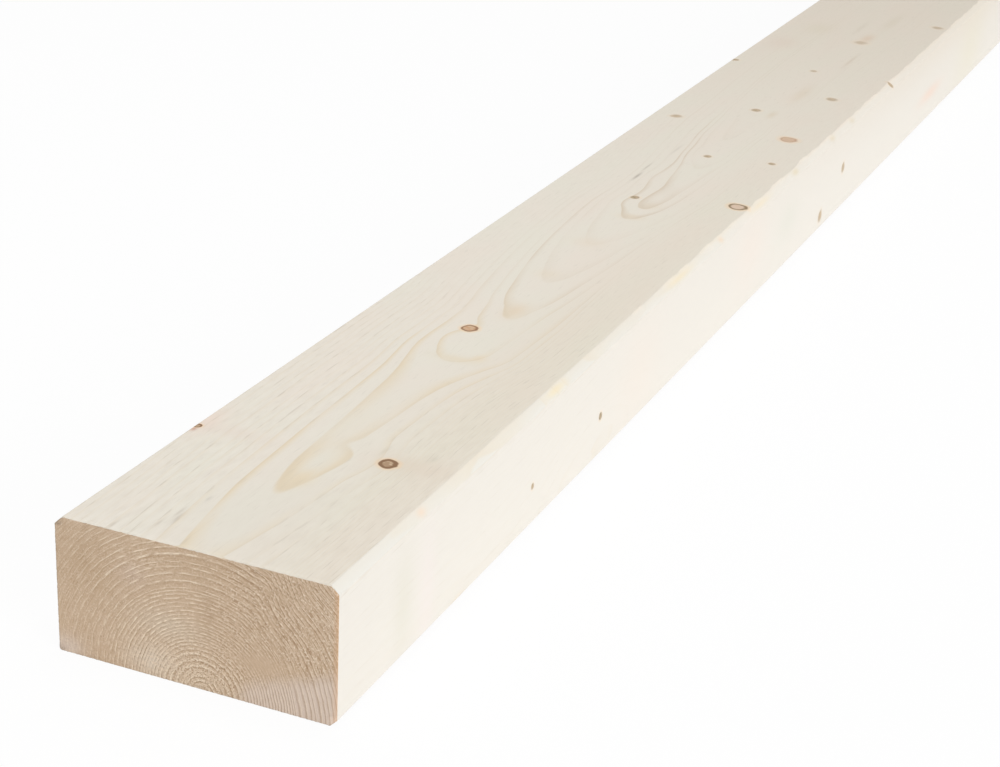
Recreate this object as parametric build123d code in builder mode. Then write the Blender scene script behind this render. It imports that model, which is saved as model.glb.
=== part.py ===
from build123d import *
import os

# Planed softwood plank, sawn to length from one piece of stock and lying flat on its lower wide face.
# Millimetres. X across the wide face, Y along the grain, Z up. The origin is under the middle of the plank.

# Finished section and stocked length
plank_length = 2400.0
plank_width = 145.0
plank_thickness = 70.0

# Arris planed off each long corner, measured along either face it cuts.
# Seen on the near end: the upper corners are broken widest and the lower left one is almost square.
upper_left_arris = 4.4
upper_right_arris = 3.8
lower_right_arris = 3.5
lower_left_arris = 0.5


with BuildPart() as plank:
    # Cross-section, drawn upright on the middle of the length
    with BuildSketch(Plane.XZ) as section:
        Rectangle(plank_width, plank_thickness, align=(Align.CENTER, Align.MIN))
        lower_corners, upper_corners = section.vertices().group_by(Axis.Y)
        lower_left, lower_right = lower_corners.sort_by(Axis.X)
        upper_left, upper_right = upper_corners.sort_by(Axis.X)
        chamfer(upper_left, upper_left_arris)
        chamfer(upper_right, upper_right_arris)
        chamfer(lower_right, lower_right_arris)
        chamfer(lower_left, lower_left_arris)
    # The planer runs the section straight through, and both ends are cross-cut square
    extrude(amount=plank_length / 2, both=True)

plank.part.label = "plank"

os.makedirs("parts", exist_ok=True)
export_step(plank.part, "parts/plank.step")

size = plank.part.bounding_box().size
print("plank", round(size.X, 3), "x", round(size.Y, 3), "x", round(size.Z, 3), "mm")
print("volume", round(plank.part.volume / 1e9, 5), "cubic metres")
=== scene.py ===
from math import atan2, pi, radians, sin

import bmesh
import bpy
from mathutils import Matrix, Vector, noise


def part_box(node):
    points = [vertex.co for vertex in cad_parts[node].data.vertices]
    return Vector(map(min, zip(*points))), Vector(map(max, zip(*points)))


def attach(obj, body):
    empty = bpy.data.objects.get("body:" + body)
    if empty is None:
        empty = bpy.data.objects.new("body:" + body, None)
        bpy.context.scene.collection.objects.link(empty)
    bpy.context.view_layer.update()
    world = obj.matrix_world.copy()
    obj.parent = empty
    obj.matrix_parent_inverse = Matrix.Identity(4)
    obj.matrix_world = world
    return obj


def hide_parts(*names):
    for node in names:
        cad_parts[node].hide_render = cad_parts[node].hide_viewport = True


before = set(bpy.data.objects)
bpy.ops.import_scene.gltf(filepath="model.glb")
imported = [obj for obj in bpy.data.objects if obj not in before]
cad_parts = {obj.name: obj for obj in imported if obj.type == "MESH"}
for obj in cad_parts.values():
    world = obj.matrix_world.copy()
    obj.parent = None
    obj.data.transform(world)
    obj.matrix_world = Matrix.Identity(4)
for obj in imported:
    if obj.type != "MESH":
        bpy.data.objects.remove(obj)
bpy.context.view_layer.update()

millimetre = 0.001
lowCorner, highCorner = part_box("plank")
plankWidth, plankLength, plankHeight = (highCorner - lowCorner) / millimetre
halfWidth = plankWidth / 2


# Small helpers

def linearColour(hexText):
    channels = [int(hexText[i:i + 2], 16) / 255 for i in (0, 2, 4)]
    return tuple(c / 12.92 if c <= 0.04045 else ((c + 0.055) / 1.055) ** 2.4 for c in channels) + (1.0,)


def addNode(tree, kind, settings=None, sockets=None, stops=None):
    # Sockets take a node, one of its outputs, a hex colour or a plain value; stops are a curve's points or
    # a ramp's colours
    node = tree.nodes.new(kind if kind.startswith("NodeGroup") else "ShaderNode" + kind)
    for name, value in (settings or {}).items():
        setattr(node, name, value)
    for key, value in (sockets or {}).items():
        if isinstance(value, bpy.types.Node):  # its first output that its settings leave in use
            value = next(output for output in value.outputs if output.enabled)
        elif isinstance(value, str):
            value = linearColour(value)
        if isinstance(value, bpy.types.NodeSocket):
            tree.links.new(value, node.inputs[key])
        else:
            node.inputs[key].default_value = value
    if stops and hasattr(node, "mapping"):
        points = node.mapping.curves[0].points
        for spare in stops[2:]:
            points.new(0.5, 0.5)
        for point, place in zip(points, stops):
            point.location = place
            point.handle_type = "VECTOR"
        node.mapping.update()
    elif stops:
        for spare in stops[2:]:
            node.color_ramp.elements.new(0.5)
        for element, (place, colour) in zip(node.color_ramp.elements, stops):
            element.position = place
            element.color = linearColour(colour)
    return node


def openMaterial(name):
    material = bpy.data.materials.new(name)
    material.use_nodes = True
    material.node_tree.nodes.clear()
    return material, material.node_tree


# Camera at the photograph's viewing angle, solved from the plank's edges

cameraSetup = {
    "place": (0.43130, -1.89834, 0.49798),
    "turn": (67.1080, -2.5577, 23.5855),  # degrees
    "lens": 74.90,  # mm, on a 36 mm wide sensor
}


def makeCamera():
    camera = bpy.data.objects.new("camera", bpy.data.cameras.new("camera"))
    bpy.context.scene.collection.objects.link(camera)
    camera.location = cameraSetup["place"]
    camera.rotation_euler = [radians(angle) for angle in cameraSetup["turn"]]
    camera.data.lens = cameraSetup["lens"]
    camera.data.sensor_fit = "HORIZONTAL"
    camera.data.clip_end = 50
    bpy.context.scene.camera = camera


makeCamera()
print("camera set")


# The stem that the plank was sawn from, in millimetres. Length runs from the near end, across from the
# plank's middle line to the right, depth down from the top face.

stem = {
    "pithPath": [  # length, across, depth
        (0, 4.0, 71.7), (50, 3.8, 70.1), (68, 3.5, 69.6), (100, 3.5, 69.05), (150, 2.5, 68.9),
        (200, 2.5, 68.3), (220, 3.2, 67.9), (235, 4.5, 67.1), (250, 5.5, 65.95), (262, 6.8, 64.5),
        (272, 7.4, 63.8), (328, 9.0, 63.15), (345, 8.5, 62.6), (365, 6.8, 61.4), (400, 4.8, 59.9),
        (480, 3.0, 56.2), (538, 4.8, 52.6), (563, 6.5, 51.2), (590, 9.0, 50.8), (620, 10.0, 50.6),
        (650, 9.5, 50.2), (700, 6.5, 48.8), (760, 2.5, 47.5), (800, 1.5, 47.0), (900, 0.5, 44.5),
        (1000, -1.0, 43.5), (1200, 3.0, 42.0), (1400, 5.0, 41.0), (1700, 2.0, 43.0), (2000, -2.0, 47.0),
        (2400, -4.0, 50.0),
    ],
    "ringEdges": [  # radius of a ring's outer edge, rings from the pith to there
        (0, 0), (9.2, 4), (11.4, 5), (20.6, 8), (24.8, 10), (31.2, 14), (34.1, 16), (41.7, 20),
        (49.7, 24), (51.2, 25), (52.6, 26), (56.4, 27), (60.0, 28), (63.2, 29), (65.4, 30), (69.6, 31),
        (72.5, 32), (75.5, 33), (78.3, 34), (81.0, 35), (83.2, 36), (86.9, 37), (89.7, 38), (92.4, 39),
        (95.5, 40), (98.5, 41), (130, 53),
    ],
    "closerRight": {"from": 36, "share": 0.32, "angles": (0.42, 0.75)},  # the outer rings' closer spacing
    "broadWaver": {"size": (26, 80, 26), "shift": (1.6, 0, 0.2)},
    "fineWaver": {"size": (6, 60, 6), "shift": (0.6, 0, 0.1)},
    "swellings": [  # centre, half sizes, how far they lift the rings
        ((9, 131, 70), (10, 11, 30), -0.6),
        ((10, 103, 70), (9, 14, 30), 0.3),
        ((-11, 286, 70), (8, 14, 30), 1.1),
        ((-3, 311, 70), (10, 11, 30), -1.1),
        ((-13, 571, 70), (8, 17, 30), 1.2),
        ((-14, 630, 70), (9, 34, 30), 2.5),
    ],
    "bulgeReach": 36,  # from a knot's axis to where the rings run straight again
    "branchRise": 0.25,  # how far a branch leans towards the tree's top, as a share of its length
    "branchUpright": 0.5,  # how much nearer upright than a radius it meets the wide faces
}

# Knots: face, length, then across on the wide faces or height on the edges, radius, tone, bulge.
# Tone runs from 0, a dark dead knot in a ring of bark, to 1, one that is hardly browner than the wood.
knotList = [
    ("top", 121, 35.3, 5.0, 0.0, 1.5),
    ("top", 304, -4.0, 5.0, 0.6, 0.0),
    ("top", 115, -67.0, 2.3, 0.0, 0.8),
    ("top", 582, -6.5, 3.6, 0.82, 0.4),
    ("top", 599, 60.5, 6.0, 0.38, 1.0),
    ("top", 702, 5.5, 3.4, 0.86, 0.6),
    ("top", 709, 52.0, 2.9, 0.86, 0.4),
    ("top", 777, 44.0, 6.8, 0.76, 1.2),
    ("top", 793, -50.5, 5.0, 0.93, 0.8),
    ("top", 844, -1.5, 4.4, 0.86, 1.0),
    ("top", 910, 41.5, 5.2, 0.92, 1.0),
    ("top", 992, 3.5, 3.6, 0.95, 0.8),
    ("top", 992, -66.5, 3.6, 0.84, 0.8),
    ("top", 1117, 11.5, 7.4, 1.0, 1.0),
    ("top", 1217, 58.5, 5.4, 0.96, 1.0),
    ("right", 219, 25.0, 2.1, 0.86, 0.6),
    ("right", 318, 27.0, 2.6, 0.82, 0.6),
    ("right", 784, 13.0, 5.4, 0.9, 1.0),
    ("right", 842, 36.0, 4.8, 0.9, 0.8),
    ("right", 990, 69.5, 3.6, 0.86, 0.5),
    ("left", 330, 30.0, 5.0, 0.7, 0.8),
    ("left", 640, 22.0, 4.0, 0.3, 0.6),
    ("under", 460, -30.0, 4.5, 0.6, 0.8),
    ("under", 905, 38.0, 6.0, 0.7, 1.0),
    ("top", 1480, -28.0, 6.0, 0.7, 1.0),
    ("right", 1530, 30.0, 5.0, 0.4, 0.8),
    ("top", 1765, 22.0, 6.5, 0.35, 1.2),
    ("left", 1790, 40.0, 6.0, 0.8, 0.8),
    ("top", 2080, -12.0, 5.5, 0.75, 1.0),
    ("right", 2110, 24.0, 5.5, 0.35, 0.8),
]


def branchOf(knot):
    # Where a knot meets its face, and the way its branch runs out from the pith
    face, along, place = knot[:3]
    surface = {
        "top": Vector((place, along, plankHeight)),
        "right": Vector((halfWidth, along, place)),
        "left": Vector((-halfWidth, along, place)),
        "under": Vector((place, along, 0)),
    }[face]
    before = [p for p in stem["pithPath"] if p[0] <= along][-1]
    after = [p for p in stem["pithPath"] if p[0] >= along][0]
    share = (along - before[0]) / max(1, after[0] - before[0])
    across = before[1] + (after[1] - before[1]) * share
    depth = before[2] + (after[2] - before[2]) * share
    pith = Vector((across, along, plankHeight - depth))
    if face in ("top", "under"):
        pith.x += (place - across) * stem["branchUpright"]
    reach = (surface - pith).length
    pith.y += reach * stem["branchRise"]
    return surface, (surface - pith).normalized(), reach


def openGroup(name, inputs, outputs):
    tree = bpy.data.node_groups.new(name, "ShaderNodeTree")
    for direction, sockets in (("INPUT", inputs), ("OUTPUT", outputs)):
        for label, kind in sockets.items():
            tree.interface.new_socket(name=label, in_out=direction, socket_type="NodeSocket" + kind)
    return tree


def makeKnotGroup():
    # One knot: a cylinder of branch wood, measured by how many radii away its axis is
    tree = openGroup("knot", {
        "Place": "Vector", "Centre": "Vector", "Direction": "Vector", "Reach": "Float", "Radius": "Float",
        "Tone": "Float", "Bulge": "Float", "Nearest": "Float", "Nearest Tone": "Float",
        "Nearest Offset": "Vector", "Bulge So Far": "Float",
    }, {"Nearest": "Float", "Tone": "Float", "Offset": "Vector", "Bulge": "Float"})
    given = addNode(tree, "NodeGroupInput").outputs
    offset = addNode(tree, "VectorMath", {"operation": "SUBTRACT"}, {0: given["Place"], 1: given["Centre"]})
    sideways = addNode(tree, "VectorMath", {"operation": "CROSS_PRODUCT"},
                       {0: offset, 1: given["Direction"]})
    distance = addNode(tree, "VectorMath", {"operation": "LENGTH"}, {0: sideways})
    along = addNode(tree, "VectorMath", {"operation": "DOT_PRODUCT"}, {0: offset, 1: given["Direction"]})
    inward = addNode(tree, "Math", {"operation": "ADD"}, {0: along, 1: given["Reach"]})
    pastPith = addNode(tree, "Math", {"operation": "LESS_THAN"}, {0: inward, 1: 0.0})
    distance = addNode(tree, "Math", {"operation": "MULTIPLY_ADD"},  # no branch past the pith
                       {0: pastPith, 1: 1000.0, 2: distance})
    ratio = addNode(tree, "Math", {"operation": "DIVIDE"}, {0: distance, 1: given["Radius"]})
    nearer = addNode(tree, "Math", {"operation": "LESS_THAN"}, {0: ratio, 1: given["Nearest"]})
    nearest = addNode(tree, "Math", {"operation": "MINIMUM"}, {0: ratio, 1: given["Nearest"]})
    tone = addNode(tree, "Mix", {"data_type": "FLOAT"},
                   {0: nearer, 2: given["Nearest Tone"], 3: given["Tone"]})
    place = addNode(tree, "Mix", {"data_type": "VECTOR"},
                    {0: nearer, 4: given["Nearest Offset"], 5: sideways})
    swell = addNode(tree, "MapRange", {"interpolation_type": "SMOOTHERSTEP"}, {
        "Value": distance, "From Min": stem["bulgeReach"], "From Max": 0.0, "To Max": given["Bulge"]})
    bulge = addNode(tree, "Math", {"operation": "ADD"}, {0: swell, 1: given["Bulge So Far"]})
    addNode(tree, "NodeGroupOutput", {}, {"Nearest": nearest, "Tone": tone, "Offset": place, "Bulge": bulge})
    return tree


def makeBlushGroup():
    # One soft patch of another colour round a place, and how near to its middle a point lies
    tree = openGroup("blush", {
        "Colour": "Color", "Place": "Vector", "Centre": "Vector", "Size": "Vector", "Tint": "Color",
        "Amount": "Float",
    }, {"Colour": "Color", "Near": "Float"})
    given = addNode(tree, "NodeGroupInput").outputs
    offset = addNode(tree, "VectorMath", {"operation": "SUBTRACT"}, {0: given["Place"], 1: given["Centre"]})
    offset = addNode(tree, "VectorMath", {"operation": "DIVIDE"}, {0: offset, 1: given["Size"]})
    squared = addNode(tree, "VectorMath", {"operation": "DOT_PRODUCT"}, {0: offset, 1: offset})
    falling = addNode(tree, "Math", {"operation": "MULTIPLY"}, {0: squared, 1: -1.0})
    near = addNode(tree, "Math", {"operation": "EXPONENT"}, {0: falling})
    amount = addNode(tree, "Math", {"operation": "MULTIPLY"}, {0: near, 1: given["Amount"]})
    mixed = addNode(tree, "Mix", {"data_type": "RGBA"}, {0: amount, 6: given["Colour"], 7: given["Tint"]})
    addNode(tree, "NodeGroupOutput", {}, {"Colour": mixed, "Near": amount})
    return tree


def leaveOut(tree, place, patches):
    # One all over, and less inside soft patches: centre, half sizes and how much each takes away
    left = 1.0
    for centre, size, missing in patches:
        near = addNode(tree, "Group", {"node_tree": blushGroup}, {
            "Place": place, "Centre": centre, "Size": size, "Amount": missing}).outputs["Near"]
        kept = addNode(tree, "Math", {"operation": "SUBTRACT"}, {0: 1.0, 1: near})
        left = addNode(tree, "Math", {"operation": "MULTIPLY"}, {0: left, 1: kept})
    return left


def blushOver(tree, place, colour, blushes):
    for centre, size, tint, amount in blushes:
        colour = addNode(tree, "Group", {"node_tree": blushGroup}, {
            "Colour": colour, "Place": place, "Centre": centre, "Size": size, "Tint": tint, "Amount": amount})
    return colour


def makeStemGroup(knots):
    # Where a point of the plank lies in the tree: which ring, how far through it, and which knot is near
    tree = openGroup("spruce stem", {}, {
        "Place": "Vector", "From Pith": "Vector", "Radius": "Float", "Ring": "Float", "Knot": "Float",
        "Knot Tone": "Float", "Knot Offset": "Vector",
    })
    coordinates = addNode(tree, "TexCoord")
    place = addNode(tree, "Mapping", {}, {
        "Vector": coordinates.outputs["Object"], "Location": (0, plankLength / 2, 0),
        "Scale": (1 / millimetre,) * 3,
    })
    warped = place
    for waver in (stem["broadWaver"], stem["fineWaver"]):  # the rings are never quite round
        stretched = addNode(tree, "Mapping", {}, {
            "Vector": place, "Scale": [1 / size for size in waver["size"]],
        })
        swing = addNode(tree, "TexNoise", {}, {"Vector": stretched, "Scale": 1.0, "Detail": 0.0})
        moved = addNode(tree, "VectorMath", {"operation": "MULTIPLY_ADD"}, {
            0: swing.outputs["Color"], 1: waver["shift"], 2: [-shift / 2 for shift in waver["shift"]],
        })
        warped = addNode(tree, "VectorMath", {"operation": "ADD"}, {0: warped, 1: moved})
    parts = addNode(tree, "SeparateXYZ", {}, {0: warped}).outputs
    lengthShare = addNode(tree, "Math", {"operation": "DIVIDE"}, {0: parts[1], 1: plankLength})
    acrossSpan, depthSpan = 20, 100  # mm, what the pith's two curves cover
    acrossStops = [(at / plankLength, across / acrossSpan + 0.5) for at, across, depth in stem["pithPath"]]
    depthStops = [(at / plankLength, depth / depthSpan) for at, across, depth in stem["pithPath"]]
    pithAcross = addNode(tree, "FloatCurve", {}, {"Value": lengthShare}, acrossStops)
    pithDepth = addNode(tree, "FloatCurve", {}, {"Value": lengthShare}, depthStops)
    pithX = addNode(tree, "Math", {"operation": "MULTIPLY_ADD"},
                    {0: pithAcross, 1: acrossSpan, 2: -acrossSpan / 2})
    pithZ = addNode(tree, "Math", {"operation": "MULTIPLY_ADD"},
                    {0: pithDepth, 1: -depthSpan, 2: plankHeight})
    fromPithX = addNode(tree, "Math", {"operation": "SUBTRACT"}, {0: parts[0], 1: pithX})
    fromPithZ = addNode(tree, "Math", {"operation": "SUBTRACT"}, {0: parts[2], 1: pithZ})
    fromPith = addNode(tree, "CombineXYZ", {}, {0: fromPithX, 2: fromPithZ})
    radius = addNode(tree, "VectorMath", {"operation": "LENGTH"}, {0: fromPith})
    angle = addNode(tree, "Math", {"operation": "ARCTAN2"}, {0: fromPithX, 1: fromPithZ})
    turned = stem["closerRight"]
    closer = addNode(tree, "MapRange", {"interpolation_type": "SMOOTHSTEP"}, {
        "Value": angle, "From Min": turned["angles"][0], "From Max": turned["angles"][1],
        "To Max": turned["share"]})
    beyond = addNode(tree, "Math", {"operation": "SUBTRACT"}, {0: radius, 1: turned["from"]})
    beyond = addNode(tree, "Math", {"operation": "MAXIMUM"}, {0: beyond, 1: 0.0})
    counted = addNode(tree, "Math", {"operation": "MULTIPLY_ADD"}, {0: beyond, 1: closer, 2: radius})
    nearest, tone, offset, bulge = 50.0, 0.0, (0, 0, 0), 0.0  # no knot yet within 50 radii
    for centre, size, lift in stem["swellings"]:
        swelling = addNode(tree, "Group", {"node_tree": blushGroup}, {
            "Place": place, "Centre": centre, "Size": size, "Amount": lift}).outputs["Near"]
        bulge = addNode(tree, "Math", {"operation": "ADD"}, {0: swelling, 1: bulge})
    for knot in knots:  # one after another, each handing on the nearest so far
        surface, direction, reach = branchOf(knot)
        step = addNode(tree, "Group", {"node_tree": knotGroup}, {
            "Place": warped, "Centre": surface, "Direction": direction, "Reach": reach,
            "Radius": knot[3], "Tone": knot[4], "Bulge": knot[5],
            "Nearest": nearest, "Nearest Tone": tone, "Nearest Offset": offset, "Bulge So Far": bulge,
        }).outputs
        nearest, tone, offset, bulge = step["Nearest"], step["Tone"], step["Offset"], step["Bulge"]
    flattened = addNode(tree, "Math", {"operation": "SUBTRACT"}, {0: counted, 1: bulge})
    lastRadius, lastRing = stem["ringEdges"][-1]
    radiusShare = addNode(tree, "Math", {"operation": "DIVIDE"}, {0: flattened, 1: lastRadius})
    ringStops = [(edge / lastRadius, ring / lastRing) for edge, ring in stem["ringEdges"]]
    ringShare = addNode(tree, "FloatCurve", {}, {"Value": radiusShare}, ringStops)
    ring = addNode(tree, "Math", {"operation": "MULTIPLY"}, {0: ringShare, 1: lastRing})
    addNode(tree, "NodeGroupOutput", {}, {
        "Place": place, "From Pith": fromPith, "Radius": radius, "Ring": ring,
        "Knot": nearest, "Knot Tone": tone, "Knot Offset": offset,
    })
    return tree


knotGroup = makeKnotGroup()
blushGroup = makeBlushGroup()
stemGroup = makeStemGroup(knotList)
clearStemGroup = makeStemGroup([])  # both ends are sawn through clear wood
print("stem grown, with", len(knotList), "knots")


def shareOut(tree, look, sources, shares):
    # How much of each thing shows at a point: first the zones, then several of them taken together
    for name, (source, start, end, first, last, blend) in look["zones"].items():
        shares[name] = addNode(tree, "MapRange", {"interpolation_type": blend}, {
            "Value": sources[source], "From Min": start, "From Max": end, "To Min": first, "To Max": last})
    for name, (way, *factors) in look["together"].items():
        together = shares[factors[0]]
        for factor in factors[1:]:
            together = addNode(tree, "Math", {"operation": "MAXIMUM" if way == "any of" else "MULTIPLY"},
                               {0: together, 1: shares[factor]})
        if way == "rest of":
            together = addNode(tree, "Math", {"operation": "SUBTRACT"}, {0: 1.0, 1: together})
        shares[name] = together


def finishWood(tree, look, colour, height):
    # The wood's own surface, with its fibres standing up a little
    raised = addNode(tree, "Math", {"operation": "MULTIPLY"}, {0: height, 1: look["fibreHeight"]})
    bump = addNode(tree, "Bump", {}, {
        "Height": raised, "Distance": millimetre, "Strength": look["bumpStrength"]})
    shader = addNode(tree, "BsdfPrincipled", {}, {
        "Base Color": colour, "Roughness": look["roughness"], "IOR": look["ior"], "Normal": bump})
    addNode(tree, "OutputMaterial", {}, {"Surface": shader})


# Planed spruce: knives leave a smooth dull surface. Early wood is a pale cream, and where a face only just
# cuts a ring its thin late wood spreads into a faint yellow arch. Knots are the one strong mark.

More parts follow.
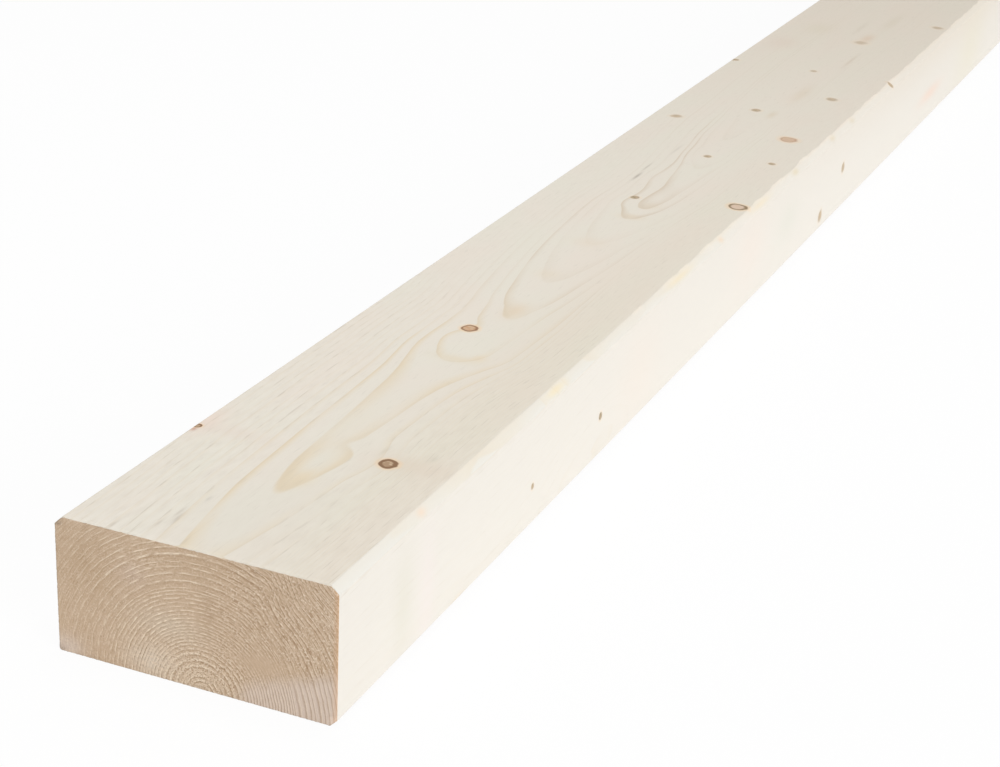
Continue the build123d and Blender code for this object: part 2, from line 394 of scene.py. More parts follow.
planedFinish = {
    "earlyWood": [(0.32, "e7e2d4"), (0.5, "e8e1d4"), (0.68, "e9e0d3")],  # cooler and warmer in patches
    "lateWood": "e4d5ba",
    "farLateWood": "d9cbb7",  # greyer, beyond the pale arches
    "ringEdge": "d6c6ab",
    "pore": "b9b0a2",
    "blotchDark": "d6ccbe",
    "blotchPale": "f3eee3",
    "edgeWood": "e7e2d9",
    "arrisWood": "e2dfd7",
    "patterns": {  # how wide, long and high one patch of each is, in mm, and its detail
        "lateRuns": ((12, 90, 12), 2.0),
        "patches": ((30, 100, 30), 2.0),
        "blotches": ((3.5, 13, 3.5), 3.0),
        "dashes": ((2.2, 16, 2.2), 1.0),
        "fibres": ((0.9, 11, 0.9), 2.0),  # real pores are 0.1 mm wide, drawn this coarse so that they show
    },
    "zones": {  # what it follows, from where to where, its level at each, and how it passes between them
        "lateShown": ("lateRuns", 0.3, 0.6, 0.3, 1.0, "SMOOTHSTEP"),
        "toRight": ("across", 52, 66, 0.0, 1.0, "SMOOTHSTEP"),
        "belowTop": ("depth", 2, 10, 0.0, 0.8, "SMOOTHSTEP"),
        "belowFace": ("depth", 0.1, 1.5, 0.0, 1.0, "LINEAR"),
        "onArris": ("toCorner", -4.4, -4.0, 0.0, 1.0, "LINEAR"),
        "offArris": ("toCorner", -4.4, -4.0, 1.0, 0.0, "LINEAR"),
        "openArris": ("toCorner", -4.4, -4.0, 1.0, 1.4, "LINEAR"),  # its late wood lies wide open
        "nearArris": ("along", 350, 650, 1.0, 0.35, "LINEAR"),
        "farAlong": ("along", 270, 430, 0.0, 1.0, "SMOOTHSTEP"),
        "outside": ("ringNumber", 27, 29, 0.0, 0.8, "LINEAR"),
        "outerRings": ("ringNumber", 30, 33, 0.15, 1.0, "LINEAR"),
        "beforeKnots": ("along", 880, 740, 0.3, 1.0, "SMOOTHSTEP"),
        "nearBlotches": ("along", 380, 60, 0.35, 1.0, "SMOOTHSTEP"),
        "darkBlotches": ("blotches", 0.5, 0.68, 0.0, 0.22, "LINEAR"),
        "paleBlotches": ("blotches", 0.5, 0.32, 0.0, 0.22, "LINEAR"),
        "dashShown": ("dashes", 0.54, 0.7, 0.0, 0.32, "SMOOTHSTEP"),
        "dashEdge": ("withinRing", 0.76, 0.9, 0.0, 1.0, "SMOOTHSTEP"),
        "pores": ("fibres", 0.6, 0.8, 0.0, 0.2, "LINEAR"),
        "knotStreaks": ("knotStreaks", 0.48, 0.6, 0.0, 0.7, "LINEAR"),
        "knotHalo": ("tone", 0.6, 0.9, 0.55, 0.12, "LINEAR"),
        "rimStart": ("tone", 0.0, 0.4, 0.45, 0.6, "LINEAR"),  # the bark round a dead knot is thick
        "outline": ("tone", 0.6, 1.0, 0.92, 0.35, "LINEAR"),  # a sound knot blends into the wood round it
    },
    "together": {  # the product of some shares, or what that leaves of one
        "plainer": ("rest of", "toRight", "belowTop"),  # sapwood on the right edge
        "notFar": ("rest of", "farAlong", "outside"),  # past the pale arches the outer rings hardly show
        "fading": ("all of", "notFar", "beforeKnots", "unfaded"),
        "strength": ("all of", "ringStrength", "lateShown", "plainer", "openArris", "fading"),
        "late": ("all of", "lateShade", "strength", "notHollow"),
        "ringEdge": ("all of", "edgeShade", "strength"),
        "rightEdge": ("all of", "toRight", "belowFace"),
        "darkBlotch": ("all of", "darkBlotches", "nearBlotches", "plainer", "outerRings"),
        "paleBlotch": ("all of", "paleBlotches", "nearBlotches", "plainer", "outerRings"),
        "arris": ("all of", "onArris", "nearArris"),
        "dashes": ("all of", "dashShown", "outerRings", "dashEdge", "plainer", "offArris", "fading"),
        "pore": ("all of", "pores", "offArris", "plainer"),
    },
    "lateShift": 0.04,  # in rings, how far the late wood runs on past the ring line
    "lateShade": [(0, 0), (0.55, 0), (0.74, 0.5), (0.88, 1), (0.95, 1), (1, 0)],  # through a ring, how dark
    "edgeShade": [(0, 0), (0.87, 0), (0.93, 0.3), (0.96, 0.3), (0.99, 0)],
    "ringStrength": [  # ring, how strongly its late wood shows
        (0, 0.12), (22, 0.12), (23, 0.15), (24, 0.9), (25, 0.95), (26, 0.15), (27, 0.15), (28, 1.0),
        (29, 0.8), (30, 1.0), (31, 0.9), (32, 0.4), (33, 0.25), (41, 0.2), (53, 0.2),
    ],
    "faded": [((22.0, 645, 70), (8, 60, 6), 0.75)],  # where an arch's right flank hardly shows
    "hollows": [  # centre, half sizes and how far the late wood's colour is missing, inside an arch
        ((4.6, 108, 70), (4.8, 16, 6), 0.85),
        ((4.5, 195, 70), (10, 60, 6), 0.85),
        ((17.0, 15, 70), (7, 45, 6), 0.6),
        ((8.5, 364, 70), (9, 16, 6), 0.5),
        ((29.5, 110, 70), (10, 120, 6), 0.75),
        ((33.0, 285, 70), (13, 42, 6), 0.8),
        ((38.0, 690, 70), (20, 130, 6), 0.9),
        ((-36.0, 700, 70), (14, 110, 6), 0.9),
        ((30.0, 500, 70), (13, 90, 6), 0.55),
        ((22.0, 770, 70), (14, 80, 6), 0.95),
    ],
    "knotInside": [  # tone and colour
        (0.0, "a98a6a"), (0.38, "d9c0aa"), (0.6, "c99f79"), (0.78, "d0b399"), (0.82, "9c8a6c"),
        (0.86, "b29d7f"), (1.0, "cbbaa2"),
    ],
    "knotRims": [
        (0.0, "825f3d"), (0.38, "89714f"), (0.6, "926a47"), (0.78, "bb9273"), (0.82, "867452"),
        (0.86, "9d8868"), (1.0, "c6b49b"),
    ],
    "knotUneven": (0.16, 0.5),  # per mm, and in radii: how fast and how far a knot's outline strays
    "knotStreak": "d3b99a",
    "knotStreaks": (0.7, 0.2, 0.7),  # per mm: streaks 1.4 mm wide and 5 mm long
    "knotRimWidth": 0.24,  # in radii, from the rim's start to where it is whole
    "knotEdge": 1.08,  # in radii, where the knot's colour begins
    "knotHalo": "f0cfa4",
    "haloReach": 1.6,  # in radii
    "fibreHeight": 0.04,  # mm
    "bumpStrength": 1.0,
    "roughness": 0.62,
    "ior": 1.5,
    "arrisMark": ((-1.9, -1.8), 2.2, 0.6),  # from the corner, half thickness and amount
    "arrisMarks": [  # length, half length and colour of the yellow late wood laid open on the broken corner
        (85, 4, "ecd2ba"), (250, 12, "eedcb2"), (450, 24, "ebdab6"), (533, 4, "ebd2b6"),
        (620, 22, "ebdbbd"), (705, 7, "dbccaa"), (806, 6, "dccdb0"), (864, 6, "dccfb6"),
    ],
    "blushes": [  # centre, half sizes, colour, amount
        ((-22.0, 24, 70), (1.1, 6, 2), "b8ab9c", 0.55),
        ((-24.5, 29, 70), (0.8, 5, 2), "b8ab9c", 0.45),
        ((-27.0, 15, 70), (0.9, 4, 2), "b8ab9c", 0.45),
        ((-20.0, 47, 70), (1.0, 3, 2), "b9b3a6", 0.4),
        ((-44.0, 4, 70), (0.8, 4, 2), "b8ab9c", 0.5),
        ((-67.0, 122, 69), (8, 16, 5), "efd3c4", 0.45),
        ((-67.0, 111, 70), (1.6, 2.4, 3), "c08a70", 0.8),
        ((27.5, 133, 70), (1.2, 5, 2), "bdbaab", 0.4),
        ((53.0, 136, 70), (1.6, 4, 2), "c2bfb0", 0.4),
        ((46.0, 124, 70), (20, 10, 3), "dfcdbc", 0.5),
        ((-46.0, 117, 70), (20, 8, 3), "e6d6c9", 0.4),
        ((54.0, 300, 70), (30, 420, 3), "dccfb8", 0.3),
        ((8.0, 40, 70), (30, 60, 3), "dfdacc", 0.3),
        ((6.5, 86, 70), (6, 9, 2), "e8cfa6", 0.5),
        ((7.5, 259, 70), (12, 5, 2), "e4d7be", 0.6),
        ((19.5, 265, 70), (4, 5, 2), "e8d3b0", 0.4),
        ((7.5, 342, 70), (6, 12, 2), "e6d0b4", 0.6),
        ((0.0, 410, 70), (8, 8, 2), "e6d8bc", 0.3),
        ((0.0, 478, 70), (11, 10, 2), "e6d4bc", 0.3),
        ((5.5, 541, 70), (8, 5, 2), "e4d2b4", 0.5),
        ((9.5, 569, 70), (6, 7, 2), "e0d3b8", 0.4),
        ((-22.5, 629, 70), (1.1, 9, 2), "9c9284", 0.7),
        ((-24.0, 654, 70), (0.8, 10, 2), "aca293", 0.5),
        ((-20.0, 706, 70), (1.0, 14, 2), "b5ac9e", 0.3),
        ((13.0, 838, 70), (3, 10, 3), "d6c3a4", 0.45),
        ((16.0, 913, 70), (5, 26, 3), "dac7aa", 0.4),
        ((-48.0, 1077, 70), (12, 24, 3), "e2cdbf", 0.45),
        ((-36.0, 1150, 70), (12, 22, 3), "dcd5bd", 0.5),
        ((-3.0, 1175, 70), (2.5, 26, 3), "cabeaa", 0.35),
        ((17.0, 1215, 70), (5, 34, 3), "d0c4a9", 0.35),
        ((21.5, 1045, 70), (1.5, 24, 3), "c4b299", 0.5),
        ((13.0, 1136, 70), (5, 16, 3), "dcc1a5", 0.75),
        ((72.5, 64, 30), (3, 10, 26), "dfdbcd", 0.6),
        ((72.5, 90, 26), (3, 9, 34), "ece2de", 0.5),
        ((72.5, 127, 2), (3, 8, 3), "dfccb0", 0.5),
        ((72.5, 380, 34), (3, 36, 30), "eee0d4", 0.3),
        ((72.5, 600, 44), (3, 36, 26), "eee0d5", 0.4),
        ((72.5, 690, 36), (3, 24, 14), "dcdccf", 0.4),
        ((72.5, 1150, 26), (3, 38, 6), "f0cfbc", 0.5),
        ((72.5, 1320, 34), (3, 60, 34), "e5dfc9", 0.5),
        ((0.0, 1300, 72), (300, 520, 26), "dfd1bd", 0.45),
    ],
}


def makePlanedSpruce():
    look = planedFinish
    material, tree = openMaterial("planed spruce")
    stemNode = addNode(tree, "Group", {"node_tree": stemGroup}).outputs
    place = stemNode["Place"]
    across, along, up = addNode(tree, "SeparateXYZ", {}, {0: place}).outputs
    depth = addNode(tree, "Math", {"operation": "SUBTRACT"}, {0: plankHeight, 1: up})
    toCorner = addNode(tree, "Math", {"operation": "SUBTRACT"}, {0: across, 1: halfWidth})
    toCorner = addNode(tree, "Math", {"operation": "SUBTRACT"}, {0: toCorner, 1: depth})
    counted = addNode(tree, "Math", {"operation": "SUBTRACT"}, {0: stemNode["Ring"], 1: look["lateShift"]})
    ringNumber = addNode(tree, "Math", {"operation": "FLOOR"}, {0: counted})
    withinRing = addNode(tree, "Math", {"operation": "FRACT"}, {0: counted})
    sources = {
        "across": across, "along": along, "depth": depth, "toCorner": toCorner,
        "ringNumber": ringNumber, "withinRing": withinRing, "tone": stemNode["Knot Tone"],
    }
    for name, (size, detail) in look["patterns"].items():
        stretched = addNode(tree, "Mapping", {}, {
            "Vector": place, "Scale": [1 / side for side in size]})
        sources[name] = addNode(tree, "TexNoise", {}, {"Vector": stretched, "Scale": 1.0, "Detail": detail})
    streakPlace = addNode(tree, "Mapping", {}, {
        "Vector": stemNode["Knot Offset"], "Scale": look["knotStreaks"]})
    sources["knotStreaks"] = addNode(tree, "TexNoise", {}, {
        "Vector": streakPlace, "Scale": 1.0, "Detail": 1.0})
    lastRing = stem["ringEdges"][-1][1]
    ringShare = addNode(tree, "Math", {"operation": "DIVIDE"}, {0: ringNumber, 1: lastRing})
    strengthStops = [(ring / lastRing, shown) for ring, shown in look["ringStrength"]]
    shares = {
        "ringStrength": addNode(tree, "FloatCurve", {}, {"Value": ringShare}, strengthStops),
        "lateShade": addNode(tree, "FloatCurve", {}, {"Value": withinRing}, look["lateShade"]),
        "edgeShade": addNode(tree, "FloatCurve", {}, {"Value": withinRing}, look["edgeShade"]),
        "unfaded": leaveOut(tree, place, look["faded"]),
        "notHollow": leaveOut(tree, place, look["hollows"]),
    }
    shareOut(tree, look, sources, shares)
    # From the ground up: the wood, soft marks, late wood, and then broken dashes and pores
    colour = addNode(tree, "ValToRGB", {}, {0: sources["patches"]}, look["earlyWood"])
    for share, tint in (
        ("rightEdge", "edgeWood"), ("darkBlotch", "blotchDark"), ("paleBlotch", "blotchPale"),
        ("arris", "arrisWood"),
    ):
        colour = addNode(tree, "Mix", {"data_type": "RGBA"}, {0: shares[share], 6: colour, 7: look[tint]})
    (fromSide, fromTop), reach, amount = look["arrisMark"]
    arrisMarks = [((halfWidth + fromSide, middle, plankHeight + fromTop), (reach, half, reach), tint, amount)
                  for middle, half, tint in look["arrisMarks"]]
    colour = blushOver(tree, place, colour, look["blushes"] + arrisMarks)
    lateWood = addNode(tree, "Mix", {"data_type": "RGBA"}, {
        0: shares["farAlong"], 6: look["lateWood"], 7: look["farLateWood"]})
    for share, tint in (
        ("late", lateWood), ("ringEdge", look["ringEdge"]),
        ("dashes", look["pore"]), ("pore", look["pore"]),
    ):
        colour = addNode(tree, "Mix", {"data_type": "RGBA"}, {0: shares[share], 6: colour, 7: tint})
    # Knots, with an uneven outline
    unevenScale, unevenReach = look["knotUneven"]
    uneven = addNode(tree, "TexNoise", {}, {
        "Vector": stemNode["Knot Offset"], "Scale": unevenScale, "Detail": 1.0})
    knotRatio = addNode(tree, "Math", {"operation": "MULTIPLY_ADD"},
                        {0: uneven, 1: unevenReach, 2: stemNode["Knot"]})
    knotRatio = addNode(tree, "Math", {"operation": "SUBTRACT"}, {0: knotRatio, 1: unevenReach / 2})
    inside = addNode(tree, "ValToRGB", {}, {0: sources["tone"]}, look["knotInside"])
    inside = addNode(tree, "Mix", {"data_type": "RGBA"}, {
        0: shares["knotStreaks"], 6: inside, 7: look["knotStreak"]})
    rim = addNode(tree, "ValToRGB", {}, {0: sources["tone"]}, look["knotRims"])
    rimEnd = addNode(tree, "Math", {"operation": "ADD"}, {0: shares["rimStart"], 1: look["knotRimWidth"]})
    halo, rimBand, inKnot = [
        addNode(tree, "MapRange", {"interpolation_type": "SMOOTHSTEP"}, {
            "Value": knotRatio, "From Min": start, "From Max": end, "To Max": most})
        for start, end, most in (
            (look["haloReach"], 1.0, shares["knotHalo"]),
            (shares["rimStart"], rimEnd, 1.0),
            (look["knotEdge"], shares["outline"], 1.0),
        )
    ]
    knotColour = addNode(tree, "Mix", {"data_type": "RGBA"}, {0: rimBand, 6: inside, 7: rim})
    for share, tint in ((halo, look["knotHalo"]), (inKnot, knotColour)):
        colour = addNode(tree, "Mix", {"data_type": "RGBA"}, {0: share, 6: colour, 7: tint})
    finishWood(tree, look, colour, sources["fibres"])
    return material


# Sawn end grain: the blade tears the fibre ends, so it is dull and browner than the planed faces. Late wood
# stands up in ridges whose light and shade are painted: on the left a pale thread of painted highlight beside
# a thin line of painted shadow, on the right dark broken lines of late wood colour and painted shadow, with
# loose fibre specks.

sawnFinish = {
    "wood": "d0b79d",
    "woodDeep": "c4aa8d",
    # The next two colours: a painted highlight on the lit side of the late wood ridges, and the late wood's
    # own dark line together with painted shadow on the ridges' shaded side
    "ridgeHighlight": "f2e2cb",
    "ringDarkAndShadow": "93704b",
    "fuzzPale": "e4d0b8",
    "speckPale": "ecdcc8",
    "speckDark": "8a6e50",
    "edgeOrange": "dcae84",
    "patchPink": "dac8b9",
    "crumbPale": "ead8c2",
    "fibreHeight": 0.15,  # mm
    "bumpStrength": 0.8,
    "roughness": 0.85,
    "ior": 1.5,
    "streak": (0.55, 4.2),  # mm across the rings and, at streakRadius, along them
    "streakRadius": 50,
    "patterns": {"broad": (9, 2.0), "torn": (5, 2.0), "specks": (0.9, 1.0)},  # mm, and its detail
    "ringStray": 0.36,  # in rings, how far the streaks pull a ring about
    "zones": {  # what it follows, from where to where, its level at each, and how it passes between them
        "rightHand": ("angle", 0.0, 0.35, 0.0, 1.0, "SMOOTHSTEP"),  # radians from upright
        "leftHand": ("across", -72.5, -28, 0.15, 1.0, "LINEAR"),  # weaker towards the left edge
        "pastHeart": ("across", 17, 30, 0.0, 1.0, "SMOOTHSTEP"),
        "belowLine": ("slant", -4, 6, 0.0, 1.0, "SMOOTHSTEP"),
        "whole": ("torn", 0.34, 0.56, 0.25, 1.0, "SMOOTHSTEP"),
        "ringShown": ("ringChance", 0.0, 1.0, 0.5, 1.0, "LINEAR"),
        "broken": ("streaks", 0.4, 0.58, 0.3, 1.3, "LINEAR"),
        "wideRings": ("radius", 46, 54, 0.0, 1.0, "LINEAR"),
        "toEdge": ("across", 69.5, 72.5, 0.0, 0.5, "LINEAR"),
        "toTop": ("rim", 70.5, 71.2, 0.0, 0.8, "LINEAR"),
    },
    "together": {  # the product of some shares or the greatest of them, or what that leaves of one
        "clean": ("all of", "belowLine", "pastHeart", "nearEnd"),
        "ringLeft": ("all of", "whole", "ringShown", "broken"),
        "notHeart": ("rest of", "heart"),
        "right": ("all of", "rightHand", "notHeart"),
        "notRight": ("rest of", "rightHand"),
        "leftRings": ("all of", "leftHand", "notRight"),
        "left": ("any of", "leftRings", "heart"),
        "notBleached": ("rest of", "bleached"),
        "leftRidgeHighlight": ("all of", "left", "notBleached"),
        "rough": ("any of", "rightHand", "heart"),
    },
    "pinkLine": ((22, 8), (70.5, 26.5)),  # across and up: below this line the blade cut cleanly
    "lineStray": 6.0,  # mm
    "cleanFrom": 100.0,  # mm from the near end: the far end was sawn without it
    "cleanRings": 0.5,  # how strongly the rings show there
    "rimStray": 2.4,  # mm, how far the crumbled rim's lower edge strays
    "loose": {"left": 0.5, "right": 1.1, "heart": 0.4, "clean": 0.2},  # how many fibre ends show
    "plainPatches": [  # centre, half sizes and how far the rings are missing
        ((34.0, 0, 21), (15, 9, 7), 0.9),
        ((6.0, 0, 35), (20, 9, 9), 0.35),
    ],
    "patches": {  # centre, half sizes and most
        "heart": ((6.0, 0, 6), (19, 9, 17), 1.0),  # fuzzy all round the pith
        "bleached": ((-24.0, 0, 10), (13, 9, 9), 0.65),  # whiter, with more dark line than thread
    },
    "threads": {  # how a ring's pale thread (painted highlight) and dark line (late wood colour with painted shadow) lie in a narrow ring and in a wide one
        "pale": ([(0, 0), (0.55, 0), (0.68, 1), (0.9, 1), (0.99, 0)],
                 [(0, 0), (0.72, 0), (0.8, 1), (0.93, 1), (0.98, 0)]),
        "dark": ([(0, 0), (0.22, 0), (0.4, 1), (0.55, 1), (0.66, 0)],
                 [(0, 0), (0.35, 0), (0.55, 0.7), (0.7, 1), (0.78, 0)]),
    },
    "threadsShown": [  # thread, where, colour and most
        ("dark", "right", "ringDarkAndShadow", 1.1),
        ("pale", "right", "ridgeHighlight", 0.55),
        ("dark", "left", "ringDarkAndShadow", 0.5),
        ("dark", "heart", "ringDarkAndShadow", 0.5),
        ("dark", "bleached", "ringDarkAndShadow", 0.95),
        ("pale", "leftRidgeHighlight", "ridgeHighlight", 0.95),
    ],
    "specks": [  # noise, from where to where in it, colour and most
        ("streaks", 0.55, 0.68, "fuzzPale", 0.6),
        ("streaks", 0.45, 0.32, "ringDarkAndShadow", 0.55),
        ("specks", 0.58, 0.68, "speckPale", 0.65),
        ("specks", 0.4, 0.3, "speckDark", 0.35),
    ],
    "smears": [  # streak's half sizes and turn, place and half sizes, least and most of the noise, amount
        (((5.0, 4.0, 0.9), 8), ((-22.0, 0, 9), (16, 9, 9)), 0.48, 0.62, 0.85),
        (((4.0, 4.0, 0.6), 45), ((67.0, 0, 52), (9, 9, 16)), 0.52, 0.66, 0.6),
        (((3.0, 4.0, 0.8), -28), ((-28.0, 0, 58), (18, 9, 9)), 0.5, 0.64, 0.6),
    ],
    "blushes": [  # centre, half sizes, colour, amount
        ((-68.0, 0, 3), (9, 9, 6), "dccbbd", 0.8),
        ((-22.0, 0, 8), (12, 9, 8), "e2d5c4", 0.8),
        ((-14.0, 0, 28), (17, 9, 8), "d3c3ae", 0.6),
        ((2.0, 0, 6), (17, 9, 10), "dfcbb2", 0.6),
        ((7.5, 0, 42), (4, 9, 12), "b59a7e", 0.5),
        ((-56.0, 0, 48), (16, 9, 14), "bda284", 0.6),
        ((-10.0, 0, 62), (42, 9, 9), "bda284", 0.3),
        ((-32.0, 0, 50), (8, 9, 6), "cbb4a2", 0.5),
    ],
}


def makeSawnSpruce():
    look = sawnFinish
    material, tree = openMaterial("sawn spruce end grain")
    stemNode = addNode(tree, "Group", {"node_tree": clearStemGroup}).outputs
    place = stemNode["Place"]
    across, along, up = addNode(tree, "SeparateXYZ", {}, {0: place}).outputs
    pithParts = addNode(tree, "SeparateXYZ", {}, {0: stemNode["From Pith"]}).outputs
    angle = addNode(tree, "Math", {"operation": "ARCTAN2"}, {0: pithParts[0], 1: pithParts[2]})
    sources = {"across": across, "angle": angle, "radius": stemNode["Radius"]}
    for name, (size, detail) in look["patterns"].items():
        sources[name] = addNode(tree, "TexNoise", {}, {
            "Vector": place, "Scale": 1 / size, "Detail": detail})
    # Fine streaks that follow the rings and pull them about
    streakWide, streakLong = look["streak"]
    polarX = addNode(tree, "Math", {"operation": "DIVIDE"}, {0: stemNode["Radius"], 1: streakWide})
    polarY = addNode(tree, "Math", {"operation": "MULTIPLY"},
                     {0: angle, 1: look["streakRadius"] / streakLong})
    polar = addNode(tree, "CombineXYZ", {}, {0: polarX, 1: polarY, 2: along})
    streaks = addNode(tree, "TexNoise", {}, {"Vector": polar, "Scale": 1.0, "Detail": 1.5})
    strayed = addNode(tree, "Math", {"operation": "MULTIPLY_ADD"},
                      {0: streaks, 1: look["ringStray"], 2: stemNode["Ring"]})
    strayed = addNode(tree, "Math", {"operation": "SUBTRACT"}, {0: strayed, 1: look["ringStray"] / 2})
    ringNumber = addNode(tree, "Math", {"operation": "FLOOR"}, {0: strayed})
    withinRing = addNode(tree, "Math", {"operation": "FRACT"}, {0: strayed})
    # Below a slanting line on the right the blade cut cleanly, and the wood is pinker there
    (lineX, lineZ), (endX, endZ) = look["pinkLine"]
    runX, runZ = Vector((endX - lineX, endZ - lineZ)).normalized()
    swing = look["lineStray"]
    slant = addNode(tree, "Math", {"operation": "MULTIPLY_ADD"},
                    {0: across, 1: runZ, 2: lineZ * runX - lineX * runZ - swing / 2})
    slant = addNode(tree, "Math", {"operation": "MULTIPLY_ADD"}, {0: up, 1: -runX, 2: slant})
    sources["slant"] = addNode(tree, "Math", {"operation": "MULTIPLY_ADD"},
                               {0: sources["broad"], 1: swing, 2: slant})
    sources["streaks"] = streaks
    sources["ringChance"] = addNode(tree, "TexWhiteNoise", {"noise_dimensions": "1D"}, {"W": ringNumber})
    sources["rim"] = addNode(tree, "Math", {"operation": "MULTIPLY_ADD"},
                             {0: sources["torn"], 1: look["rimStray"], 2: up})
    shares = {"nearEnd": addNode(tree, "Math", {"operation": "LESS_THAN"}, {0: along, 1: look["cleanFrom"]})}
    for name, (centre, size, most) in look["patches"].items():
        shares[name] = addNode(tree, "Group", {"node_tree": blushGroup}, {
            "Place": place, "Centre": centre, "Size": size, "Amount": most}).outputs["Near"]
    shareOut(tree, look, sources, shares)
    unplain = leaveOut(tree, place, look["plainPatches"])
    ringLeft = addNode(tree, "Mix", {"data_type": "FLOAT"},
                       {0: shares["clean"], 2: shares["ringLeft"], 3: look["cleanRings"]})
    ringLeft = addNode(tree, "Math", {"operation": "MULTIPLY"}, {0: ringLeft, 1: unplain})
    # Ground colour
    colour = addNode(tree, "Mix", {"data_type": "RGBA"}, {
        0: sources["broad"], 6: look["woodDeep"], 7: look["wood"]})
    colour = blushOver(tree, place, colour, look["blushes"])
    colour = addNode(tree, "Mix", {"data_type": "RGBA"}, {
        0: shares["clean"], 6: colour, 7: look["patchPink"]})
    # A pale thread beside a thin dark line on the left, a dark line on the right: the pale thread is a
    # painted highlight on the late wood's ridge, the thin dark line its painted shadow, and the dark line on
    # the right is late wood colour with painted shadow. The outer rings are twice as wide as the inner ones,
    # so a thread takes half the share of them.
    threads = {}
    for name, curves in look["threads"].items():
        narrow, wide = [addNode(tree, "FloatCurve", {}, {"Value": withinRing}, curve) for curve in curves]
        threads[name] = addNode(tree, "Mix", {"data_type": "FLOAT"},
                                {0: shares["wideRings"], 2: narrow, 3: wide})
    for thread, where, tint, most in look["threadsShown"]:
        shown = addNode(tree, "Math", {"operation": "MULTIPLY"}, {0: threads[thread], 1: shares[where]})
        shown = addNode(tree, "Math", {"operation": "MULTIPLY"}, {0: shown, 1: ringLeft})
        shown = addNode(tree, "Math", {"operation": "MULTIPLY", "use_clamp": True}, {0: shown, 1: most})
        colour = addNode(tree, "Mix", {"data_type": "RGBA"}, {0: shown, 6: colour, 7: look[tint]})
    # The blade has dragged pale fibre across the rings, level on the left and slanting by the right edge
    for (stretch, turn), (centre, size), low, high, most in look["smears"]:
        drawn = addNode(tree, "Mapping", {"vector_type": "TEXTURE"}, {
            "Vector": place, "Rotation": (0, radians(turn), 0), "Scale": stretch})
        smear = addNode(tree, "TexNoise", {}, {"Vector": drawn, "Scale": 1.0, "Detail": 1.5})
        smear = addNode(tree, "MapRange", {},
                        {"Value": smear, "From Min": low, "From Max": high, "To Max": most})
        here = addNode(tree, "Group", {"node_tree": blushGroup}, {
            "Place": place, "Centre": centre, "Size": size, "Amount": 1.0}).outputs["Near"]
        smear = addNode(tree, "Math", {"operation": "MULTIPLY"}, {0: smear, 1: here})
        colour = addNode(tree, "Mix", {"data_type": "RGBA"}, {0: smear, 6: colour, 7: look["fuzzPale"]})
    # Loose fibre ends: real ones are 0.05 mm, drawn half a millimetre wide so that they show
    loose = look["loose"]
    rough = addNode(tree, "MapRange", {}, {
        "Value": shares["rough"], "To Min": loose["left"], "To Max": loose["right"]})
    rough = addNode(tree, "Math", {"operation": "MULTIPLY_ADD"},
                    {0: shares["heart"], 1: loose["heart"], 2: rough})
    notClean = addNode(tree, "MapRange", {},
                       {"Value": shares["clean"], "To Min": 1.0, "To Max": loose["clean"]})
    for factor in (notClean, unplain):
        rough = addNode(tree, "Math", {"operation": "MULTIPLY"}, {0: rough, 1: factor})
    for source, low, high, tint, most in look["specks"]:
        speck = addNode(tree, "MapRange", {},
                        {"Value": sources[source], "From Min": low, "From Max": high, "To Max": most})
        speck = addNode(tree, "Math", {"operation": "MULTIPLY"}, {0: speck, 1: rough})
        colour = addNode(tree, "Mix", {"data_type": "RGBA"}, {0: speck, 6: colour, 7: look[tint]})
    # The right edge is more orange, and along the top the planed fibres hang over in a pale crumbled rim
    for share, tint in (("toEdge", "edgeOrange"), ("toTop", "crumbPale")):
        colour = addNode(tree, "Mix", {"data_type": "RGBA"}, {0: shares[share], 6: colour, 7: look[tint]})
    raised = addNode(tree, "Math", {"operation": "ADD"}, {0: sources["specks"], 1: streaks})
    finishWood(tree, look, colour, raised)
    return material


# The plank's own mesh, cut from the CAD outline

plankMesh = {
    "cell": 5.0,  # mm, across the section
    "rows": 320,  # down the length
    "softened": 0.2,  # mm, how far handling has rounded the planed edges
    "endStrips": (0.8, 3.0),  # mm, narrow rows behind each sawn end
    "endCuts": {-1: 8, 1: 3},  # cuts through a cell's sides on the near end and on the far one
    "sawCentre": (95, 70),  # mm to the left of the end's middle and below its foot, seen from outside
    "sawPitch": 2.3,  # mm between the blade's arcs
    "sawDepth": 0.06,
    "fuzzDepth": 0.16,
    "endNoise": {"patch": (16, 5), "fuzz": (0.9, 9), "crumb": (1.3, 3)},  # mm across one swing, and its seed
    "ragged": {"top": 0.6, "other": 0.3},  # mm, how far the sawn rim has crumbled
    "sideWear": 0.12,
    "topWear": 1.1,  # mm, how far the planed face dips at the rim
    "arrisWander": 1.9,  # mm, how unevenly the broken corner on the upper right was planed
    "arrisLean": 0.3,  # share of the wander that it has all along
    "arrisSwings": ((37, 0.7, 4), (14, 0.8, 7)),  # mm along it, share of the wander and seed
    "arrisReach": (10, 6),  # mm from the edge where the face starts to narrow, and from there to the arris
    "arrisSteady": (330, 140, 0.25),  # mm from the near end to where it grows, mm it grows over, least share
}

bakeSheet = {"side": 1024, "margin": 4, "endScale": 3.35}  # pixels, and pixels per millimetre


def plankOutline(made):
    # The section's corners in order round it, from the lower left, in millimetres
    corners = {(round(v.co.x / millimetre, 3), round(v.co.z / millimetre, 3)) for v in made.verts}
    return sorted(corners, key=lambda corner: atan2(corner[1] - plankHeight / 2, corner[0]))


def longEdges(made):
    return [e for e in made.edges if abs(e.verts[0].co.y - e.verts[1].co.y) > 1]


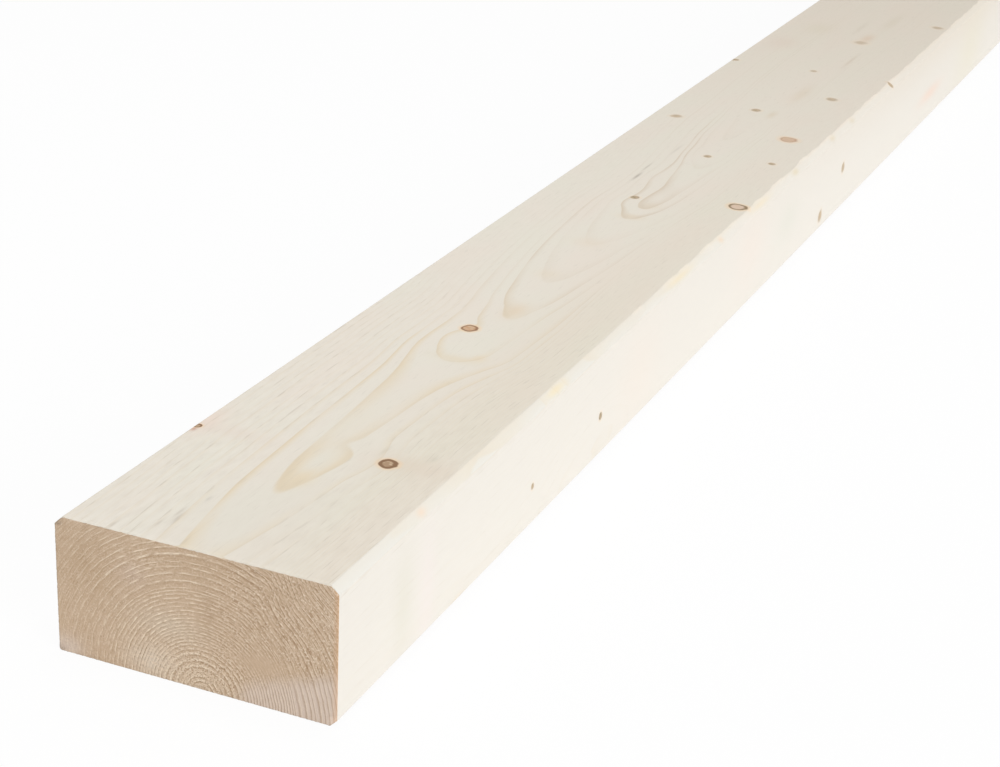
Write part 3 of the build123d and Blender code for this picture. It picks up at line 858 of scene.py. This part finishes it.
def cutPlank(made):
    shape = plankMesh
    bmesh.ops.bevel(made, geom=longEdges(made), offset=shape["softened"] * millimetre, offset_type="OFFSET",
                    affect="EDGES", segments=2, profile=0.5, material=-1, clamp_overlap=True)
    cell = shape["cell"]
    planes = [((cell * step - halfWidth, 0, 0), (1, 0, 0)) for step in range(1, round(plankWidth / cell))]
    planes += [((0, 0, cell * step), (0, 0, 1)) for step in range(1, round(plankHeight / cell))]
    for strip in shape["endStrips"]:
        planes += [((0, side * (plankLength / 2 - strip), 0), (0, 1, 0)) for side in (-1, 1)]
    for point, normal in planes:
        bmesh.ops.bisect_plane(made, geom=made.verts[:] + made.edges[:] + made.faces[:], dist=1e-7,
                               plane_co=Vector(point) * millimetre, plane_no=normal)
    bmesh.ops.subdivide_edges(made, edges=longEdges(made), cuts=shape["rows"] - 1)
    made.normal_update()
    for side, cuts in shape["endCuts"].items():
        edges = {e for f in made.faces if f.normal.y * side > 0.9 for e in f.edges}
        bmesh.ops.subdivide_edges(made, edges=list(edges), cuts=cuts, use_grid_fill=True)
    made.normal_update()


def wearPlank(made):
    # Every move goes into the wood, so the plank keeps its planed size
    shape = plankMesh
    for face in made.faces:
        face.material_index = 1 if abs(face.normal.y) > 0.9 else 0
        face.smooth = True
    start, width = shape["arrisReach"]
    steady, growth, least = shape["arrisSteady"]
    for vert in made.verts:
        x, y, z = vert.co / millimetre
        if z > plankHeight - shape["softened"] and x > halfWidth - start:
            swing = shape["arrisLean"]
            for length, part, seed in shape["arrisSwings"]:
                swing += part * noise.noise(Vector((y / length, 0, seed)))
            share = min(1, max(least, (y + plankLength / 2 - steady) / growth))
            share *= (x - halfWidth + start) / width
            vert.co.x -= shape["arrisWander"] * min(1, max(0, swing)) * share * millimetre
    ends = {v: (1 if v.co.y > 0 else -1) for f in made.faces if f.material_index for v in f.verts}
    for vert, side in ends.items():
        x, z = vert.co.x / millimetre, vert.co.z / millimetre
        fromBlade = Vector((x - side * shape["sawCentre"][0], z + shape["sawCentre"][1])).length
        furrow = 0.5 + 0.5 * sin(2 * pi * fromBlade / shape["sawPitch"])
        patch, fuzz, crumb = [0.5 + 0.5 * noise.noise(Vector((x / swing, z / swing, seed * side)))
                              for swing, seed in shape["endNoise"].values()]
        depth = shape["sawDepth"] * furrow * patch + shape["fuzzDepth"] * fuzz * patch
        if any(not face.material_index for face in vert.link_faces):
            ragged = shape["ragged"]["top" if z > plankHeight - 1 else "other"]
            depth += ragged * crumb * crumb
            inward = Vector((-x / halfWidth, 0, 1 - 2 * z / plankHeight))
            if z > plankHeight - 1:
                inward.z *= shape["topWear"] / shape["sideWear"]
            vert.co += inward * shape["sideWear"] * crumb * millimetre
        vert.co.y -= side * depth * millimetre


def unrollPlank(made, outline):
    # The bake's sheet: both ends side by side, and the long faces unrolled in two halves above them
    sheet = bakeSheet
    layer = made.loops.layers.uv.new("OFBake")
    corners = [Vector(corner) for corner in outline]
    spans = [(a, b - a) for a, b in zip(corners, corners[1:] + corners[:1])]
    starts = [0]
    for start, span in spans:
        starts.append(starts[-1] + span.length)
    around = starts[-1]
    endHigh = plankHeight * sheet["endScale"]
    alongScale = (sheet["side"] - 2 * sheet["margin"]) / (plankLength / 2)
    halfHigh = (sheet["side"] - endHigh - 4 * sheet["margin"]) / 2

    def roundPlace(x, z):
        point = Vector((x, z))
        nearby = []
        for (start, span), begun in zip(spans, starts):
            share = min(1, max(0, (point - start).dot(span) / span.length_squared))
            nearby.append(((start + span * share - point).length, begun + share * span.length))
        return min(nearby)[1]

    found = {v: roundPlace(v.co.x / millimetre, v.co.z / millimetre) for v in made.verts}
    for face in made.faces:
        centre = face.calc_center_median() / millimetre
        side = 1 if centre.y > 0 else -1
        middle = roundPlace(centre.x, centre.z)
        for loop in face.loops:
            x, y, z = loop.vert.co / millimetre
            if face.material_index:
                left = sheet["margin"] + (side > 0) * (plankWidth * sheet["endScale"] + sheet["margin"])
                pixel = (left + (halfWidth - x * side) * sheet["endScale"],
                         sheet["margin"] + z * sheet["endScale"])
            else:
                turn = found[loop.vert]
                if abs(turn - middle) > around / 2:
                    turn += around if turn < middle else -around
                low = endHigh + 2 * sheet["margin"] + (side > 0) * (halfHigh + sheet["margin"])
                pixel = (sheet["margin"] + abs(y) * alongScale, low + turn / around * halfHigh)
            loop[layer].uv = (pixel[0] / sheet["side"], pixel[1] / sheet["side"])


def makePlank():
    made = bmesh.new()
    made.from_mesh(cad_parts["plank"].data)
    bmesh.ops.remove_doubles(made, verts=made.verts, dist=1e-6)
    bmesh.ops.dissolve_limit(made, angle_limit=radians(1), verts=made.verts, edges=made.edges)
    outline = plankOutline(made)
    cutPlank(made)
    wearPlank(made)
    unrollPlank(made, outline)
    mesh = bpy.data.meshes.new("planed_plank")
    made.to_mesh(mesh)
    made.free()
    mesh.set_sharp_from_angle(angle=radians(35))
    mesh.materials.append(makePlanedSpruce())
    mesh.materials.append(makeSawnSpruce())
    plank = bpy.data.objects.new("planed_plank", mesh)
    bpy.context.scene.collection.objects.link(plank)
    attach(plank, "root")
    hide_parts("plank")
    triangles = sum(len(face.vertices) - 2 for face in mesh.polygons)
    print("plank made, with", triangles, "triangles")


makePlank()


# Studio: a white paper floor, even light all round, a low key from the right and a soft box over the
# near end, which lets the top face fall off a little towards the far end.

studio = {
    "skyLevel": 0.5,
    "keyLevel": 0.46,
    "keyFrom": (0.86, -0.40, 0.32),
    "keySoftness": 30,  # degrees across
    "boxLevel": 0.33,
    "boxPlace": (0.1, -1.1, 2.0),
    "boxSide": 1.2,  # metres
    "floorSide": 14.0,
    "floorDrop": 0.0002,  # so that it shares no plane with the plank's underside
    "floorWhite": "fcfcfc",
    "floorGlow": 0.93,  # share of the floor that the camera sees as plain white
}


def seenDirectly(tree):
    # One where the camera, a reflection or a clear piece looks at the white backdrop
    rays = addNode(tree, "LightPath").outputs
    seen = 0.0
    for ray in ("Is Camera Ray", "Is Glossy Ray", "Is Transmission Ray"):
        seen = addNode(tree, "Math", {"operation": "MAXIMUM"}, {0: seen, 1: rays[ray]})
    return seen


def makeStudio():
    scene = bpy.context.scene
    scene.view_settings.view_transform = "Standard"
    world = bpy.data.worlds.new("studio")
    scene.world = world
    world.use_nodes = True
    tree = world.node_tree
    tree.nodes.clear()
    level = addNode(tree, "Mix", {"data_type": "FLOAT"},
                    {0: seenDirectly(tree), 2: studio["skyLevel"], 3: 1.0})
    sky = addNode(tree, "Background", {}, {"Color": (1, 1, 1, 1), "Strength": level})
    addNode(tree, "OutputWorld", {}, {"Surface": sky})

    lamp = bpy.data.lights.new("key", "SUN")
    lamp.energy = studio["keyLevel"] * pi
    lamp.angle = radians(studio["keySoftness"])
    key = bpy.data.objects.new("key", lamp)
    key.rotation_mode = "QUATERNION"
    key.rotation_quaternion = Vector(studio["keyFrom"]).to_track_quat("Z", "Y")
    scene.collection.objects.link(key)

    lamp = bpy.data.lights.new("soft_box", "AREA")
    lamp.size = studio["boxSide"]
    lamp.energy = studio["boxLevel"] * pi ** 2 * studio["boxPlace"][2] ** 2
    box = bpy.data.objects.new("soft_box", lamp)
    box.location = studio["boxPlace"]
    scene.collection.objects.link(box)

    made = bmesh.new()
    bmesh.ops.create_grid(made, x_segments=1, y_segments=1, size=studio["floorSide"] / 2)
    bmesh.ops.translate(made, verts=made.verts, vec=(0, 0, -studio["floorDrop"]))
    mesh = bpy.data.meshes.new("floor")
    made.to_mesh(mesh)
    made.free()
    floor = bpy.data.objects.new("floor", mesh)
    scene.collection.objects.link(floor)
    paper, tree = openMaterial("white paper floor")
    share = addNode(tree, "Math", {"operation": "MULTIPLY"},
                    {0: seenDirectly(tree), 1: studio["floorGlow"]})
    dull = addNode(tree, "BsdfDiffuse", {}, {"Color": studio["floorWhite"]})
    glow = addNode(tree, "Emission", {}, {"Color": (1, 1, 1, 1), "Strength": 1.0})
    mixed = addNode(tree, "MixShader", {}, {0: share, 1: dull, 2: glow})
    addNode(tree, "OutputMaterial", {}, {"Surface": mixed})
    mesh.materials.append(paper)


makeStudio()
print("studio lit")
